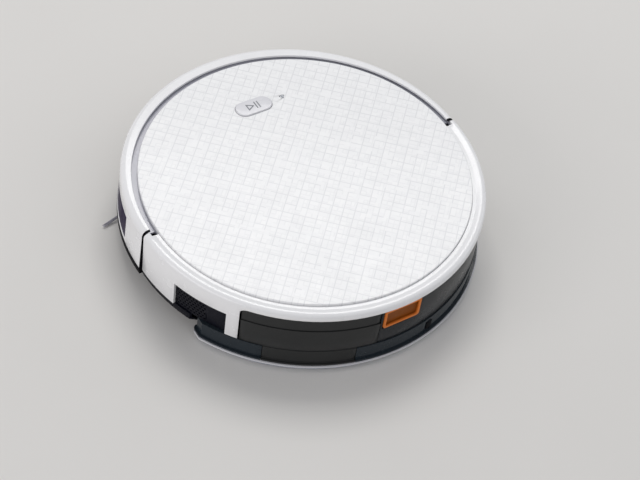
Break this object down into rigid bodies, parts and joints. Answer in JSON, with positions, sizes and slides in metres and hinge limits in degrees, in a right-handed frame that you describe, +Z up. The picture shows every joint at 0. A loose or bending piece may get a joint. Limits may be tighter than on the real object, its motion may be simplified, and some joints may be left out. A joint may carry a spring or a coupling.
{
  "type": "robot vacuum",
  "caption": "Round white robot vacuum with patterned top panel, sprung bumper, slide-out dust bin with orange release, and a mopping tank.",
  "frame": {"origin": "on the floor, on the axis of the round top panel, within 2.5 mm of the bottom centre of the bounding box", "axes": "+Y forward towards the bumper, -Y towards the dust bin, +X to the right seen from above with the front ahead, +Z up"},
  "size_m": [0.334, 0.3407, 0.076],
  "materials": {
    "white_shell": "white gloss moulding",
    "top_panel": "white panel with a fine light-grey square pattern",
    "silver_plastic": "pearl silver",
    "light_pipe": "milky",
    "black_plastic": "fine texture",
    "dark_grey_plastic": "fine texture",
    "ir_window": "gloss, dark violet black",
    "smoked_plastic": "smoked, slightly see-through",
    "bin_cover": "satin",
    "tank_plastic": "smoked blue, slightly see-through",
    "orange_plastic": "satin gloss",
    "light_grey_plastic": "satin",
    "rubber_black": "matt",
    "tyre_rubber": "ribbed",
    "steel": "bright",
    "bristle_grey": "nylon",
    "bristle_dark": "nylon",
    "brush_orange": "satin",
    "mop_fabric": "microfibre",
    "filter_paper": "pleated paper",
    "board_green": "solder mask",
    "battery_wrap": "shrink wrap"
  },
  "bodies": {
    "chassis": {"base_tray": "black_plastic", "upper_shell": "white_shell", "top_disc": "top_panel", "wifi_light": "light_pipe", "bay_frame": "black_plastic", "main_board": "board_green", "battery_pack": "battery_wrap", "battery_door": "black_plastic", "base_screws": "steel", "fan_housing": "dark_grey_plastic", "exhaust_grilles": "black_plastic", "charge_contacts": "steel", "cliff_sensors": "ir_window", "charge_socket": "black_plastic", "switch_housing": "black_plastic", "bumper_switches": "dark_grey_plastic", "brush_housing": "dark_grey_plastic", "brush_drive": "dark_grey_plastic", "brush_bearing": "dark_grey_plastic", "brush_guard": "dark_grey_plastic", "side_brush_motors": "dark_grey_plastic", "caster_socket": "dark_grey_plastic", "wheel_housings": "dark_grey_plastic", "suspension_springs": "steel", "bumper_springs": "steel", "button_spring": "steel"},
    "bumper": {"bumper_shell": "white_shell", "bumper_window": "ir_window", "bumper_strip": "rubber_black"},
    "start_key": {"start_button": "silver_plastic"},
    "power_switch": {"power_rocker": "dark_grey_plastic"},
    "dust_bin": {"bin_body": "smoked_plastic", "bin_lid": "smoked_plastic", "bin_face": "bin_cover", "bin_window": "smoked_plastic", "filter_frame": "light_grey_plastic", "hepa_filter": "filter_paper", "release_spring": "steel"},
    "release_key": {"release_button": "orange_plastic"},
    "mop_tank": {"water_tank": "tank_plastic", "tank_pump": "black_plastic", "tank_plug": "rubber_black", "mop_plate": "light_grey_plastic", "mop_cloth": "mop_fabric"},
    "main_brush": {"brush_core": "brush_orange", "brush_bristles": "bristle_dark"},
    "side_sweeper_left": {"side_brush_left": "dark_grey_plastic", "side_bristles_left": "bristle_grey"},
    "side_sweeper_right": {"side_brush_right": "dark_grey_plastic", "side_bristles_right": "bristle_grey"},
    "suspension_left": {"wheel_arm_left": "dark_grey_plastic"},
    "suspension_right": {"wheel_arm_right": "dark_grey_plastic"},
    "drive_wheel_left": {"wheel_hub_left": "dark_grey_plastic", "tyre_left": "tyre_rubber"},
    "drive_wheel_right": {"wheel_hub_right": "dark_grey_plastic", "tyre_right": "tyre_rubber"},
    "caster_swivel_body": {"caster_fork": "black_plastic", "caster_axle": "steel"},
    "caster_roller": {"caster_wheel": "light_grey_plastic"},
    "fan_rotor": {"fan_impeller": "dark_grey_plastic"}
  },
  "joints": [
    {"name": "bumper_push", "type": "slide", "parent": "chassis", "child": "bumper", "axis": [0, -1, 0], "range_m": [0, 0.002], "stiffness_N_per_m": 500, "springref_m": -0.002, "deforming": ["bumper_springs"]},
    {"name": "start_button_press", "type": "slide", "parent": "chassis", "child": "start_key", "axis": [0, 0, -1], "range_m": [0, 0.0012], "stiffness_N_per_m": 400, "springref_m": -0.001, "deforming": ["button_spring"]},
    {"name": "power_switch_toggle", "type": "hinge", "parent": "chassis", "child": "power_switch", "pos_m": [0.15395, -0.03554, 0.046], "axis": [-0.225, -0.9744, 0], "range_deg": [0, 14]},
    {"name": "dust_bin_slide", "type": "slide", "parent": "chassis", "child": "dust_bin", "axis": [0, -1, 0], "range_m": [0, 0.11]},
    {"name": "bin_release_press", "type": "slide", "parent": "dust_bin", "child": "release_key", "axis": [0, 1, 0], "range_m": [0, 0.0025], "stiffness_N_per_m": 400, "springref_m": -0.001, "deforming": ["release_spring"]},
    {"name": "mop_tank_slide", "type": "slide", "parent": "chassis", "child": "mop_tank", "axis": [0, -1, 0], "range_m": [0, 0.11]},
    {"name": "main_brush_spin", "type": "hinge", "parent": "chassis", "child": "main_brush", "pos_m": [0, -0.028, 0.0225], "axis": [1, 0, 0], "continuous": true},
    {"name": "side_brush_left_spin", "type": "hinge", "parent": "chassis", "child": "side_sweeper_left", "pos_m": [-0.103, 0.092, 0.007], "axis": [0, 0, 1], "continuous": true},
    {"name": "side_brush_right_spin", "type": "hinge", "parent": "chassis", "child": "side_sweeper_right", "pos_m": [0.103, 0.092, 0.007], "axis": [0, 0, 1], "continuous": true},
    {"name": "suspension_left_droop", "type": "hinge", "parent": "chassis", "child": "suspension_left", "pos_m": [-0.095, 0.046, 0.038], "axis": [1, 0, 0], "range_deg": [0, 12], "stiffness_Nm_per_rad": 0.4, "springref_deg": 20.05, "deforming": ["suspension_springs"]},
    {"name": "suspension_right_droop", "type": "hinge", "parent": "chassis", "child": "suspension_right", "pos_m": [0.095, 0.046, 0.038], "axis": [1, 0, 0], "range_deg": [0, 12], "stiffness_Nm_per_rad": 0.4, "springref_deg": 20.05, "deforming": ["suspension_springs"]},
    {"name": "wheel_left_spin", "type": "hinge", "parent": "suspension_left", "child": "drive_wheel_left", "pos_m": [-0.11, 0, 0.033], "axis": [1, 0, 0], "continuous": true},
    {"name": "wheel_right_spin", "type": "hinge", "parent": "suspension_right", "child": "drive_wheel_right", "pos_m": [0.11, 0, 0.033], "axis": [1, 0, 0], "continuous": true},
    {"name": "caster_swivel", "type": "hinge", "parent": "chassis", "child": "caster_swivel_body", "pos_m": [0, 0.122, 0.036], "axis": [0, 0, 1], "continuous": true},
    {"name": "caster_roll", "type": "hinge", "parent": "caster_swivel_body", "child": "caster_roller", "pos_m": [0, 0.116, 0.013], "axis": [1, 0, 0], "continuous": true},
    {"name": "fan_spin", "type": "hinge", "parent": "chassis", "child": "fan_rotor", "pos_m": [0, -0.026, 0.058], "axis": [0, 0, 1], "continuous": true}
  ]
}
